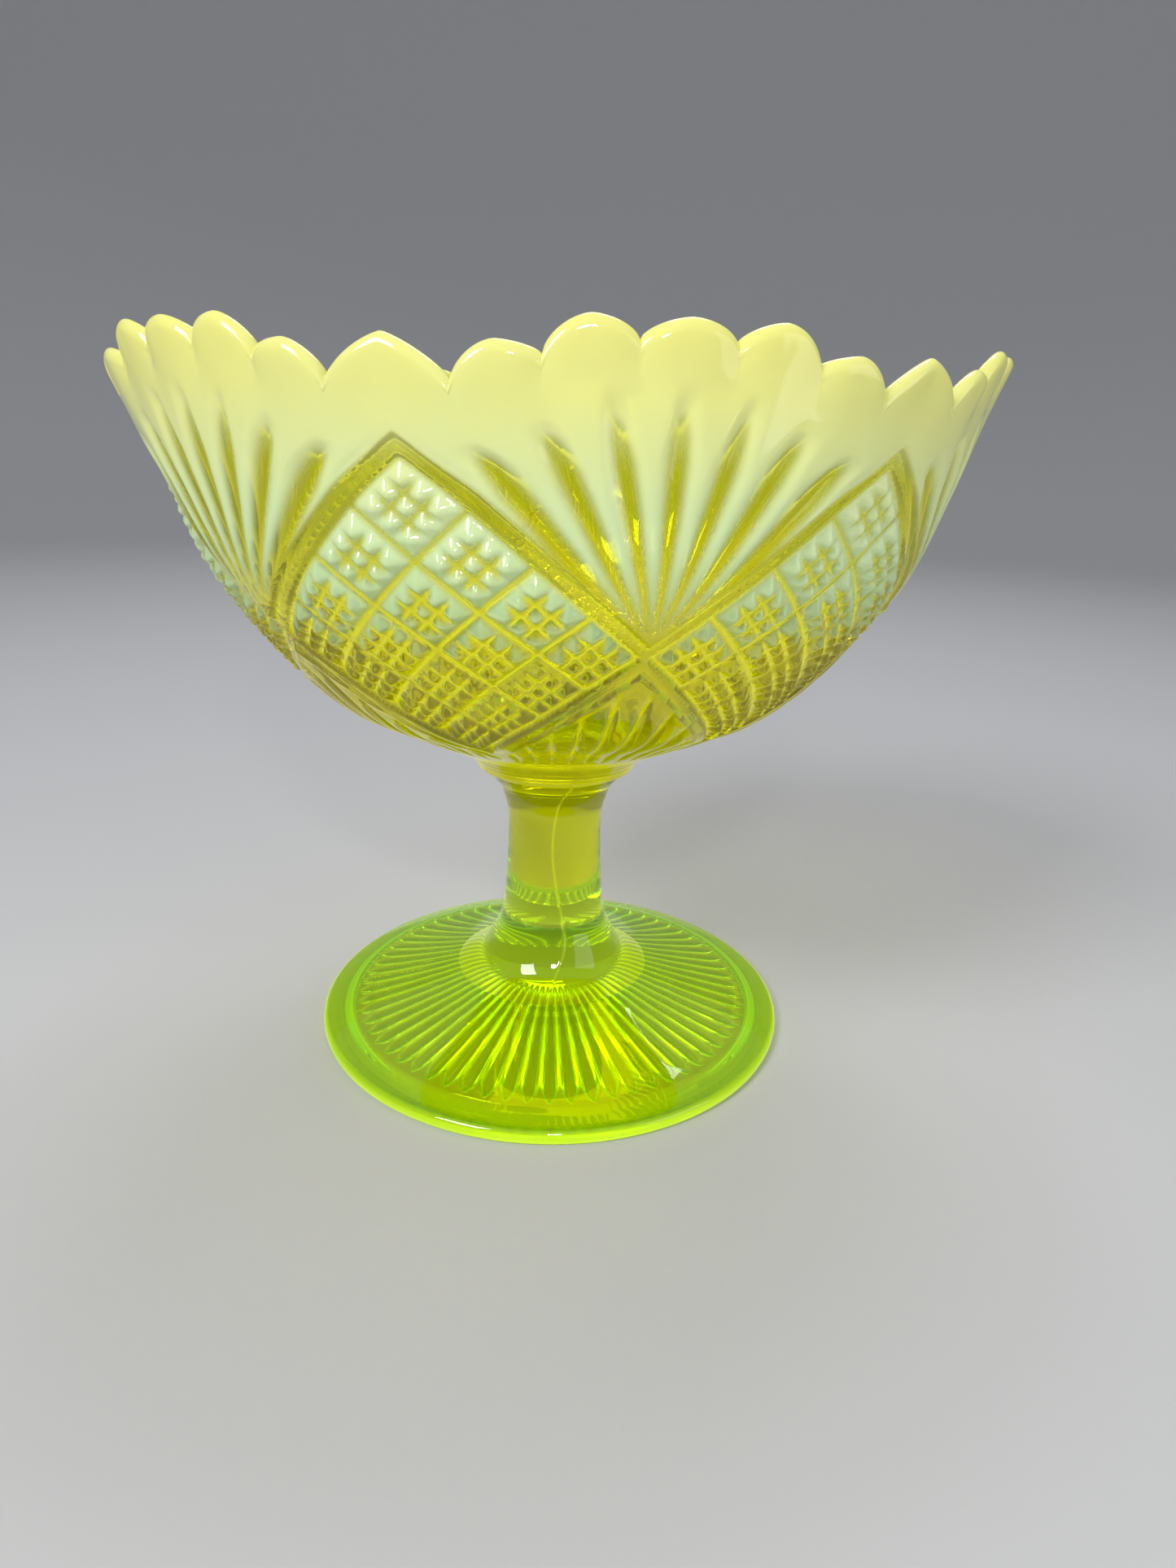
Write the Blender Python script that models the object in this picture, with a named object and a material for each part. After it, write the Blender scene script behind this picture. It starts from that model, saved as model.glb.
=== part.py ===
"""A footed dish of pressed uranium glass: an oval scalloped bowl on a waisted stem and a ribbed foot.

Metres, +Z up.  The origin is the middle of the circle that the foot stands on.
+X runs along the bowl's long axis.  The bowl is squeezed to its oval by hand, so the oval's
axes don't fall on the middles of the moulded fans.
"""

import math

import bmesh
import bpy
from mathutils import Vector

# Whole dish
HEIGHT = 0.1777  # table to the top of the tallest scallop
AXIS_MERGE = 1e-6

# Bowl
BOWL_OUTLINE = [  # radius, height: outside of the bowl, from the collar up to the rim
    (0.0262, 0.0801),
    (0.0353, 0.0842),
    (0.0465, 0.0893),
    (0.0591, 0.0962),
    (0.0732, 0.1102),
    (0.0861, 0.1280),
    (0.0942, 0.1475),
    (0.1005, 0.1653),
    (0.1046, HEIGHT),
]
BOWL_FLOOR_Z = 0.0885  # inside of the bowl, at the axis
BOWL_FLOOR_R = 0.014  # how far the inner floor stays flat
WALL_BASE = 0.0075
WALL_RIM = 0.0032
RIM_ROUND = 0.0013  # how far the rim's crown stands above its two edges
DEPTH_TO_LENGTH = 0.74  # the rim's oval, short axis over long axis
OVAL_FROM_Z = 0.093  # the bowl is round below this
OVAL_EASE = 0.15
BOWL_SEGMENTS = 216
BOWL_STEPS = 1  # rings from each point of the outline to the next

# Pattern round the bowl: six fans, and six diamond panels between them
REPEATS = 6
REPEAT = 2 * math.pi / REPEATS
FAN_TURN = math.radians(12.4)  # the nearest fan's middle stands this far from -Y, towards +X
SCALLOPS = [  # end angle from the fan's middle in degrees, top, height of the notch after it
    (5.0, HEIGHT, 0.1747),
    (14.5, HEIGHT, 0.1712),
    (23.4, 0.1731, 0.1664),
    (36.6, 0.1740, 0.1664),
]
SCALLOP_FULLNESS = 0.62  # 0.5 would be a half circle's flat top, 1 a triangle
RIM_BLEND_Z = 0.146  # the rim's waves die out down to here
LOBE_DEPTH = 0.0011  # how far each scallop's sides turn in, at the rim
GROOVE_PITCH = math.radians(7.4)
GROOVE_DEPTH = 0.0012
GROOVE_REACH = 3.5  # lobes each side of the fan's middle
STAR_Z = 0.117
FAN_TOP_Z = 0.164

# Collar, stem and foot, each as radius and height
WAFER_OUTLINE = [
    (0.0258, 0.0798),
    (0.0226, 0.0770),
    (0.0213, 0.0752),
    (0.0206, 0.0741),
    (0.0190, 0.0733),
]
STEM_OUTLINE = [
    (0.0180, 0.0730),
    (0.0154, 0.0690),
    (0.0139, 0.0650),
    (0.0130, 0.0610),
    (0.0128, 0.0550),
    (0.0133, 0.0434),
    (0.0143, 0.0316),
    (0.0165, 0.0255),
    (0.0205, 0.0193),
    (0.0272, 0.0148),
]
STEM_SEGMENTS = 48
FOOT_RADIUS = 0.0655
FOOT_LIP = 0.0034
FOOT_TOP = [  # radius, height: the foot's upper side, from the stem out to the lip
    (0.0272, 0.0145),
    (0.0340, 0.0121),
    (0.0440, 0.0093),
    (0.0550, 0.0066),
    (0.0610, 0.0048),
]
FOOT_HOLLOW = [  # radius, height: the foot's underside, from the resting ring in
    (0.0590, 0.0000),
    (0.0565, 0.0022),
    (0.0530, 0.0034),
    (0.0430, 0.0056),
    (0.0330, 0.0080),
    (0.0230, 0.0098),
    (0.0120, 0.0102),
]
FOOT_RIBS = 64
RIB_DEPTH = 0.0009
RIB_FROM_R = 0.0225
RIB_TO_R = 0.0535

GLASS_ROUGHNESS = 0.05


def clear_scene():
    """Remove every object that the scene starts with."""
    for old in list(bpy.data.objects):
        bpy.data.objects.remove(old)


def glass(name, colour):
    """A coloured glass finish."""
    material = bpy.data.materials.new(name)
    material.use_nodes = True
    shader = material.node_tree.nodes["Principled BSDF"]
    shader.inputs["Base Color"].default_value = (*colour, 1.0)
    shader.inputs["Roughness"].default_value = GLASS_ROUGHNESS
    shader.inputs["Metallic"].default_value = 0.0
    shader.inputs["Transmission Weight"].default_value = 0.8
    material.diffuse_color = (*colour, 1.0)
    return material


def smooth_line(points, steps):
    """The points, with steps - 1 more between each two, on a Catmull-Rom curve."""
    known = [Vector(point) for point in points]
    ends = [2 * known[0] - known[1], *known, 2 * known[-1] - known[-2]]
    line = []
    for before, start, end, after in zip(ends, ends[1:], ends[2:], ends[3:]):
        for step in range(steps):
            t = step / steps
            line.append(
                0.5
                * (
                    2 * start
                    + (end - before) * t
                    + (2 * before - 5 * start + 4 * end - after) * t**2
                    + (3 * start - before - 3 * end + after) * t**3
                )
            )
    line.append(known[-1])
    return line


def ease(low, high, value):
    """0 at low, 1 at high, with a soft start and end."""
    t = min(max((value - low) / (high - low), 0.0), 1.0)
    return t * t * (3 - 2 * t)


def spun(profile, segments):
    """A closed bmesh turned from a profile of (radius, height) that starts and ends on the axis."""
    shape = bmesh.new()
    points = [shape.verts.new((radius, 0, height)) for radius, height in profile]
    edges = [shape.edges.new(pair) for pair in zip(points, points[1:])]
    bmesh.ops.spin(
        shape,
        geom=points + edges,
        cent=(0, 0, 0),
        axis=(0, 0, 1),
        angle=2 * math.pi,
        steps=segments,
        use_merge=True,
    )
    bmesh.ops.remove_doubles(shape, verts=shape.verts, dist=AXIS_MERGE)
    bmesh.ops.recalc_face_normals(shape, faces=shape.faces)
    return shape


def finished(shape, name, material, sharp_degrees):
    """The object made from a bmesh, smooth except where its faces meet at more than the angle given."""
    mesh = bpy.data.meshes.new(name)
    shape.to_mesh(mesh)
    shape.free()
    mesh.shade_smooth()
    mesh.set_sharp_from_angle(angle=math.radians(sharp_degrees))
    mesh.materials.append(material)
    made = bpy.data.objects.new(name, mesh)
    bpy.context.scene.collection.objects.link(made)
    return made


def from_fan(angle):
    """The angle from the middle of the nearest fan, for an angle counted from a fan's middle."""
    return (angle + REPEAT / 2) % REPEAT - REPEAT / 2


def scallop_at(angle):
    """How far across its scallop this angle is, from -1 to 1, and that scallop's top and two notches."""
    turn = math.degrees(abs(from_fan(angle)))
    start = -SCALLOPS[0][0]
    notch_before = SCALLOPS[0][2]
    for end, top, notch in SCALLOPS:
        if turn <= end:
            return 2 * (turn - start) / (end - start) - 1, top, notch_before, notch
        start = end
        notch_before = notch
    return 0.0, SCALLOPS[-1][1], notch_before, notch_before


def even_by_scallop(angle):
    """The angle moved so that evenly spaced angles give every scallop the same number of points."""
    share = abs(from_fan(angle)) / REPEAT * REPEATS
    start = -SCALLOPS[0][0]
    for index, (end, _, _) in enumerate(SCALLOPS):
        if share <= index + 0.5:
            turn = start + (end - start) * (share - index + 0.5)
            break
        start = end
    moved = math.copysign(math.radians(turn), from_fan(angle))
    return angle - from_fan(angle) + moved


def rim_height(angle):
    """Height of the scalloped rim."""
    across, top, before, after = scallop_at(angle)
    notch = before if across < 0 else after
    return notch + (top - notch) * (1 - abs(across) ** (1 / SCALLOP_FULLNESS)) ** SCALLOP_FULLNESS


def fan_relief(angle, z):
    """How far the fan's grooves sink below the outside of the bowl."""
    spread = ease(STAR_Z, FAN_TOP_Z, z)
    turn = from_fan(angle) / GROOVE_PITCH
    if spread == 0.0 or abs(turn) > GROOVE_REACH * z / FAN_TOP_Z:
        return 0.0
    fade = 1 - ease(FAN_TOP_Z - 0.006, FAN_TOP_Z + 0.004, z)
    return GROOVE_DEPTH * spread * fade * math.cos(math.pi * turn) ** 2


def oval(z):
    """The bowl's short axis over its long axis at this height."""
    t = max((z - OVAL_FROM_Z) / (HEIGHT - OVAL_FROM_Z), 0.0)
    return 1 - (1 - DEPTH_TO_LENGTH) * (1 + OVAL_EASE) * t * t / (t + OVAL_EASE)


def bowl_profile():
    """The bowl's closed outline as (radius, height, is_outside), from the axis underneath to the axis inside."""
    outside = smooth_line(BOWL_OUTLINE, BOWL_STEPS)
    inside = []
    for i, point in enumerate(outside):
        along = (outside[min(i + 1, len(outside) - 1)] - outside[max(i - 1, 0)]).normalized()
        wall = WALL_BASE + (WALL_RIM - WALL_BASE) * i / (len(outside) - 1)
        inside.append(point + wall * Vector((-along.y, along.x)))
    crown = (outside[-1] + inside[-1]) / 2
    crown.y = HEIGHT
    outside[-1].y -= RIM_ROUND
    inside[-1].y = outside[-1].y
    profile = [(0.0, BOWL_OUTLINE[0][1], True)]
    profile += [(*point, True) for point in outside]
    profile.append((*crown, True))
    profile += [(*point, False) for point in reversed(inside) if point.x > BOWL_FLOOR_R]
    profile.append((0.0, BOWL_FLOOR_Z, False))
    return profile


def make_bowl():
    """The pressed bowl: turned, then drawn up into scallops, fluted and squeezed to its oval."""
    profile = bowl_profile()
    shape = spun([point[:2] for point in profile], BOWL_SEGMENTS)
    outer = {(round(r, 5), round(z, 5)) for r, z, is_outside in profile if is_outside}
    for vert in shape.verts:
        radius = math.hypot(vert.co.x, vert.co.y)
        z = vert.co.z
        if radius < AXIS_MERGE:
            continue
        pattern_angle = even_by_scallop(math.atan2(vert.co.x, -vert.co.y))
        near_rim = ease(RIM_BLEND_Z, HEIGHT, z)
        across = scallop_at(pattern_angle)[0]
        turned_in = LOBE_DEPTH * near_rim * abs(across) ** 3
        if (round(radius, 5), round(z, 5)) in outer:
            turned_in += fan_relief(pattern_angle, z)
        z += near_rim * (rim_height(pattern_angle) - HEIGHT)
        radius -= turned_in
        angle = pattern_angle + FAN_TURN
        vert.co = (radius * math.sin(angle), -radius * oval(z) * math.cos(angle), z)
    return finished(shape, "bowl", glass("opal_uranium_glass", (0.80, 0.84, 0.22)), 50)


def make_turned(name, outline, material):
    """A solid piece turned from an outline that runs down its outer side."""
    line = smooth_line(outline, 1)
    profile = [(0.0, line[0].y), *[tuple(point) for point in line], (0.0, line[-1].y)]
    return finished(spun(profile, STEM_SEGMENTS), name, material, 40)


def make_foot(material):
    """The foot: a low dome with a rounded lip, hollow below, with fine ribs round its underside."""
    top = smooth_line(FOOT_TOP, 1)
    hollow = smooth_line(FOOT_HOLLOW, 1)
    lip = [
        (FOOT_RADIUS - 0.0008, FOOT_LIP),
        (FOOT_RADIUS, FOOT_LIP * 0.55),
        (FOOT_RADIUS - 0.0004, FOOT_LIP * 0.15),
        (FOOT_RADIUS - 0.0012, 0.0),
    ]
    profile = [(0.0, top[0].y), *[tuple(point) for point in top], *lip]
    profile += [*[tuple(point) for point in hollow], (0.0, hollow[-1].y)]
    shape = spun(profile, 2 * FOOT_RIBS)
    below = {(round(point.x, 5), round(point.y, 5)) for point in hollow}
    for vert in shape.verts:
        radius = math.hypot(vert.co.x, vert.co.y)
        ribbed = RIB_FROM_R < radius < RIB_TO_R
        if not ribbed or (round(radius, 5), round(vert.co.z, 5)) not in below:
            continue
        step = round(math.atan2(vert.co.x, -vert.co.y) / (math.pi / FOOT_RIBS))
        if step % 2:
            vert.co.z += RIB_DEPTH
    return finished(shape, "foot", material, 50)


def main():
    """Build the four pieces, from the table up."""
    clear_scene()
    clear_glass = glass("clear_uranium_glass", (0.62, 0.78, 0.02))
    stem_glass = glass("stem_uranium_glass", (0.56, 0.66, 0.04))
    wafer_glass = glass("wafer_uranium_glass", (0.72, 0.76, 0.02))
    make_foot(clear_glass)
    make_turned("stem", STEM_OUTLINE, stem_glass)
    make_turned("joining_wafer", WAFER_OUTLINE, wafer_glass)
    make_bowl()


main()
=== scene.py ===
"""Looks for a footed dish of pressed uranium glass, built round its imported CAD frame.

Metres, +Z up.  The dish stands on its foot with its axis on the origin.  The bowl is pressed with
six fans of flutes and six diamond panels of small pyramids, and its rim and the raised parts of
its pattern were reheated until they turned milky.
"""

import logging
import math
from dataclasses import dataclass
from enum import Enum

import bpy
import numpy as np
from mathutils import Matrix, Vector


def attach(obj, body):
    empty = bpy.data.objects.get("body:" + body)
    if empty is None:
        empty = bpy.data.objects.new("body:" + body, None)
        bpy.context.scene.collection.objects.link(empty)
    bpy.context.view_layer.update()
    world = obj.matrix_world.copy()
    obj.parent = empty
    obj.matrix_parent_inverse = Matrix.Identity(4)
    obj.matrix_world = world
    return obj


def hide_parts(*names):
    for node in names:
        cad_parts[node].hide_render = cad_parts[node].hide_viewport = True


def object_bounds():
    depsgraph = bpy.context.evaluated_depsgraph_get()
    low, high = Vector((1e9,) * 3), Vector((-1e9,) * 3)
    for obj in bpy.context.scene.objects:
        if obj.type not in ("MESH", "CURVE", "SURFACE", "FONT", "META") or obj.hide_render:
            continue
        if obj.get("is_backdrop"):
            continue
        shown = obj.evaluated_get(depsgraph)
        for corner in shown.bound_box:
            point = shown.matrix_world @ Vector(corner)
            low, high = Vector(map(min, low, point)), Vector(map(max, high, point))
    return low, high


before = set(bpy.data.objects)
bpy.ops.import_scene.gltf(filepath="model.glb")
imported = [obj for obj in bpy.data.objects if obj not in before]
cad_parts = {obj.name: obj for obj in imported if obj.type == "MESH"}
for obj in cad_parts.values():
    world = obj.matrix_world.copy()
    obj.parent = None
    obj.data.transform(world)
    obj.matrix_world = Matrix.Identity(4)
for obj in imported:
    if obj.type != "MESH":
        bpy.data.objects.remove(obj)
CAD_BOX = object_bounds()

LOG = logging.getLogger("uranium_glass_dish")
Colour = tuple[float, float, float]
Outline = tuple[tuple[float, float], ...]  # radius and height of each known point
Feed = bpy.types.NodeSocket | float | tuple[float, ...]
MM = 0.001
BODY = "root"
JOIN_GAP = 0.00004  # between two pieces that were fused while hot
FLOOR_GAP = 0.0002  # the floor lies this far under the resting ring, so that they don't coincide
RIM_SHARE = 0.9995  # keeps the finer shape inside the frame's box
FOOT_JOINT = 0.0145  # height where the stem meets the foot
WAFER_JOINT = 0.07315  # height where the joining wafer meets the stem
BOWL_JOINT = 0.0801  # height where the bowl meets the joining wafer
LEVEL = 1e-6  # two heights this near are the same


class Slot(Enum):
    """The material slots of the record."""

    OPAL = "opal_uranium_glass"
    CLEAR = "clear_uranium_glass"


class Attribute(Enum):
    """Values that a mesh carries for its material."""

    STRIKE = "strike"
    OPEN = "joint_face"
    # Painted light: how much glow each point gets where light carried through the glass would come
    # out.
    EDGE = "painted_edge_glow"


# ---------------------------------------------------------------- shapes


def ease(low: float, high: float, value: np.ndarray) -> np.ndarray:
    """A soft step.

    Args:
        low: where the step starts.
        high: where it ends; below low, the step falls.
        value: the numbers to look up.

    Returns:
        0 before the step and 1 after it.
    """
    t = np.clip((value - low) / (high - low), 0.0, 1.0)
    return t * t * (3 - 2 * t)


def bump_at(value: np.ndarray, middle: float | np.ndarray, half: float) -> np.ndarray:
    """A rounded bump, 1 at its middle, which falls to about a third at half away from it."""
    return np.exp(-(((value - middle) / half) ** 2))


def smooth_line(points: Outline | list[tuple[float, float]], steps: int) -> np.ndarray:
    """A Catmull-Rom line through the points.

    Args:
        points: radius and height of each known point.
        steps: how many pieces the line has from one known point to the next.

    Returns:
        The line's points, one row each.
    """
    known = np.array(points)
    ends = np.vstack([2 * known[0] - known[1], known, 2 * known[-1] - known[-2]])
    t = (np.arange(steps) / steps)[:, None]
    line = []
    for before, start, end, after in zip(ends, ends[1:], ends[2:], ends[3:]):
        square = (2 * before - 5 * start + 4 * end - after) * t**2
        cube = (3 * start - before - 3 * end + after) * t**3
        line.append(0.5 * (2 * start + (end - before) * t + square + cube))
    return np.vstack([*line, known[-1:]])


def lengths_along(line: np.ndarray) -> np.ndarray:
    """The distance along a line from its start to each of its points."""
    steps = np.linalg.norm(np.diff(line, axis=0), axis=1)
    return np.concatenate([[0.0], np.cumsum(steps)])


def even_line(line: np.ndarray, count: int) -> np.ndarray:
    """The same line with count points, evenly spaced.

    Args:
        line: radius and height of its points, in order.
        count: how many points the new line has.

    Returns:
        The new line's points, one row each.
    """
    along = lengths_along(line)
    wanted = np.linspace(0, along[-1], count)
    return np.stack([np.interp(wanted, along, line[:, k]) for k in range(2)], axis=1)


def outward(line: np.ndarray) -> np.ndarray:
    """The unit normal at each point of a line, to the right of its run: outward where it climbs.

    Args:
        line: radius and height of its points, in order.

    Returns:
        The normals, one row each.
    """
    run = np.gradient(line, axis=0)
    run /= np.linalg.norm(run, axis=1, keepdims=True)
    return np.stack([run[:, 1], -run[:, 0]], axis=1)


def softened(height: np.ndarray, passes: int) -> np.ndarray:
    """A height field with its creases rounded, closed round its second axis.

    Args:
        height: the field, as row by angle.
        passes: how many times it is blurred.

    Returns:
        The rounded field.
    """
    for _ in range(passes):
        round_it = (np.roll(height, 1, axis=1) + np.roll(height, -1, axis=1)) / 4
        height = height / 2 + round_it
        padded = np.vstack([height[:1], height, height[-1:]])
        height = height / 2 + (padded[:-2] + padded[2:]) / 4
    return height


def angles_round(count: int) -> np.ndarray:
    """Evenly spaced angles round the axis, in radians, as one row."""
    return (np.arange(count) * 2 * math.pi / count)[None, :]


def on_circle(radius: np.ndarray, angle: np.ndarray, height: np.ndarray) -> np.ndarray:
    """Points from radius, angle and height; the angle runs from -Y towards +X."""
    return np.stack([radius * np.sin(angle), -radius * np.cos(angle), height + 0 * angle], axis=-1)


def closed_body(
    name: str, rings: np.ndarray, first: float, last: float, crease: float
) -> bpy.types.Object:
    """A closed mesh from rings of points, with a pole on the axis before and after them.

    Args:
        name: the piece's name.
        rings: points, as ring by place round it by coordinate, running up the outer side.
        first: height of the pole before the first ring.
        last: height of the pole after the last ring.
        crease: degrees between two faces past which their edge stays sharp.

    Returns:
        The object, smooth shaded between its creases.
    """
    rows, around, _ = rings.shape
    points = np.vstack([rings.reshape(-1, 3), [[0, 0, first], [0, 0, last]]])
    start = np.arange(around)
    after = (start + 1) % around
    base = (np.arange(rows - 1) * around)[:, None]
    above = base + around
    quads = np.stack([base + start, base + after, above + after, above + start], axis=-1)
    pole = rows * around
    bottom = np.stack([np.full(around, pole), after, start], axis=-1)
    last_ring = pole - around
    top = np.stack([np.full(around, pole + 1), last_ring + start, last_ring + after], axis=-1)
    corners = np.concatenate([quads.ravel(), bottom.ravel(), top.ravel()]).astype(np.int32)
    sides = np.concatenate([np.full(quads.size // 4, 4), np.full(2 * around, 3)])
    mesh = bpy.data.meshes.new(name)
    mesh.vertices.add(len(points))
    mesh.vertices.foreach_set("co", points.astype(np.float32).ravel())
    mesh.loops.add(len(corners))
    mesh.loops.foreach_set("vertex_index", corners)
    mesh.polygons.add(len(sides))
    mesh.polygons.foreach_set("loop_start", (np.cumsum(sides) - sides).astype(np.int32))
    mesh.update(calc_edges=True)
    mesh.validate()
    mesh.shade_smooth()
    mesh.set_sharp_from_angle(angle=math.radians(crease))
    made = bpy.data.objects.new(name, mesh)
    bpy.context.scene.collection.objects.link(made)
    return made


def write_points(
    piece: bpy.types.Object, name: Attribute, values: np.ndarray, poles: tuple[float, float]
) -> None:
    """Store one number for each point of a piece's mesh.

    Args:
        piece: the piece, made by closed_body.
        name: which value it is.
        values: the number for each point of each ring.
        poles: the numbers for the first and the last pole.
    """
    made = piece.data.attributes.new(name.value, "FLOAT", "POINT")
    made.data.foreach_set("value", np.concatenate([values.ravel(), poles]).astype(np.float32))


def write_joint_faces(piece: bpy.types.Object, discs: list[tuple[float, float]]) -> None:
    """Mark the faces where a piece was fused to its neighbour, so that its material hides them.

    Args:
        piece: the piece.
        discs: radius and height of each joint's disc.
    """
    mesh = piece.data
    centres = np.empty(len(mesh.polygons) * 3, np.float32)
    mesh.polygons.foreach_get("center", centres)
    centres = centres.reshape(-1, 3)
    reach = np.hypot(centres[:, 0], centres[:, 1])
    solid = np.ones(len(centres), np.float32)
    for radius, height in discs:
        flat = np.abs(centres[:, 2] - height) < LEVEL
        solid[flat & (reach < radius)] = 0.0
    made = mesh.attributes.new(Attribute.OPEN.value, "FLOAT", "FACE")
    made.data.foreach_set("value", solid)


# ---------------------------------------------------------------- finishes

Stops = tuple[tuple[float, Colour], ...]
PAINTED_GLOW_STOPS: Stops = (  # how strong the painted glow is, and its colour
    (0.0, (0.00, 0.00, 0.000)),
    (0.2, (0.27, 0.28, 0.002)),
    (0.5, (0.58, 0.58, 0.005)),
    (1.0, (1.00, 0.94, 0.010)),
)
OPAL_STOPS: Stops = (  # share of the way up the milky part, and its colour
    (0.00, (0.30, 0.52, 0.30)),
    (0.22, (0.47, 0.68, 0.44)),
    (0.45, (0.64, 0.79, 0.48)),
    (0.66, (0.74, 0.80, 0.38)),
    (0.80, (0.80, 0.80, 0.30)),
    (1.00, (0.86, 0.82, 0.24)),
)
MILKY_FROM = 0.110  # the height where the colours of the milky part start
MILKY_TO = 0.178  # and where they end


class Wiring:
    """A node tree being wired up."""

    def __init__(self, tree: bpy.types.NodeTree) -> None:
        """Start on a tree."""
        self.tree = tree

    def add(
        self,
        kind: str,
        feeds: dict[str | int, Feed] | None = None,
        **settings: str | bool | bpy.types.NodeTree,
    ) -> bpy.types.Node:
        """Add a node.

        Args:
            kind: its type, without the ShaderNode in front.
            feeds: for each input, the socket that it is linked to or the value set on it.
            settings: the node's own properties.

        Returns:
            The node.
        """
        node = self.tree.nodes.new("ShaderNode" + kind)
        for label, value in settings.items():
            setattr(node, label, value)
        for label, feed in (feeds or {}).items():
            if isinstance(feed, bpy.types.NodeSocket):
                self.tree.links.new(feed, node.inputs[label])
            else:
                node.inputs[label].default_value = feed
        return node

    def reckon(self, operation: str, *numbers: Feed) -> bpy.types.NodeSocket:
        """The result of a Math node."""
        return self.add("Math", dict(enumerate(numbers)), operation=operation).outputs["Value"]

    def place(self) -> bpy.types.NodeSocket:
        """The piece's own coordinates."""
        return self.add("TexCoord").outputs["Object"]

    def height(self, place: bpy.types.NodeSocket) -> bpy.types.NodeSocket:
        """The height of a place."""
        return self.add("SeparateXYZ", {"Vector": place}).outputs["Z"]

    def noise(
        self, place: bpy.types.NodeSocket, scale: Feed, detail: float
    ) -> bpy.types.NodeSocket:
        """The value of a noise texture at a place."""
        feeds = {"Vector": place, "Scale": scale, "Detail": detail}
        return self.add("TexNoise", feeds).outputs["Fac"]

    def mapped(self, value: bpy.types.NodeSocket, **ends: Feed) -> bpy.types.NodeSocket:
        """A value moved from one range to another; each end is named as From_Min is."""
        feeds = {label.replace("_", " "): end for label, end in ends.items()}
        return self.add("MapRange", {"Value": value, **feeds}).outputs["Result"]

    def mixed(self, share: Feed, first: Feed, second: Feed) -> bpy.types.NodeSocket:
        """A number between two others."""
        return self.add("Mix", {"Factor": share, "A": first, "B": second}).outputs["Result"]

    def ramp(self, level: bpy.types.NodeSocket, stops: Stops) -> bpy.types.NodeSocket:
        """The colour that a number has between stops.

        Args:
            level: the number, from 0 to 1.
            stops: known numbers and their colours.

        Returns:
            The colour.
        """
        node = self.add("ValToRGB", {"Fac": level})
        elements = node.color_ramp.elements
        for element, (position, colour) in zip(elements, (stops[0], stops[-1])):
            element.position = position
            element.color = (*colour, 1.0)
        for position, colour in stops[1:-1]:
            elements.new(position).color = (*colour, 1.0)
        return node.outputs["Color"]

    def stored(self, name: Attribute) -> bpy.types.NodeSocket:
        """A value that the mesh carries."""
        return self.add("Attribute", attribute_name=name.value).outputs["Fac"]

    def relief(
        self, height: bpy.types.NodeSocket, strength: float, depth: float
    ) -> bpy.types.NodeSocket:
        """The normal of a surface with a fine relief on it."""
        feeds = {"Strength": strength, "Distance": depth, "Height": height}
        return self.add("Bump", feeds).outputs["Normal"]


class EffectGroup(Wiring):
    """A shader node group that more than one glass may use."""

    def __init__(self, name: str, inputs: dict[str, float], outputs: dict[str, str]) -> None:
        """Make the group with nothing in it.

        Args:
            name: its name.
            inputs: each number input and its usual value.
            outputs: each output and its socket type.
        """
        super().__init__(bpy.data.node_groups.new(name, "ShaderNodeTree"))
        face = self.tree.interface
        for label, value in inputs.items():
            socket = face.new_socket(label, in_out="INPUT", socket_type="NodeSocketFloat")
            socket.default_value = value
        for label, kind in outputs.items():
            face.new_socket(label, in_out="OUTPUT", socket_type=kind)
        self.way_in = self.tree.nodes.new("NodeGroupInput")
        self.way_out = self.tree.nodes.new("NodeGroupOutput")

    def given(self, label: str) -> bpy.types.NodeSocket:
        """One of the group's inputs."""
        return self.way_in.outputs[label]

    def give(self, label: str, value: bpy.types.NodeSocket) -> None:
        """Put a value out of the group."""
        self.tree.links.new(value, self.way_out.inputs[label])


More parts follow.
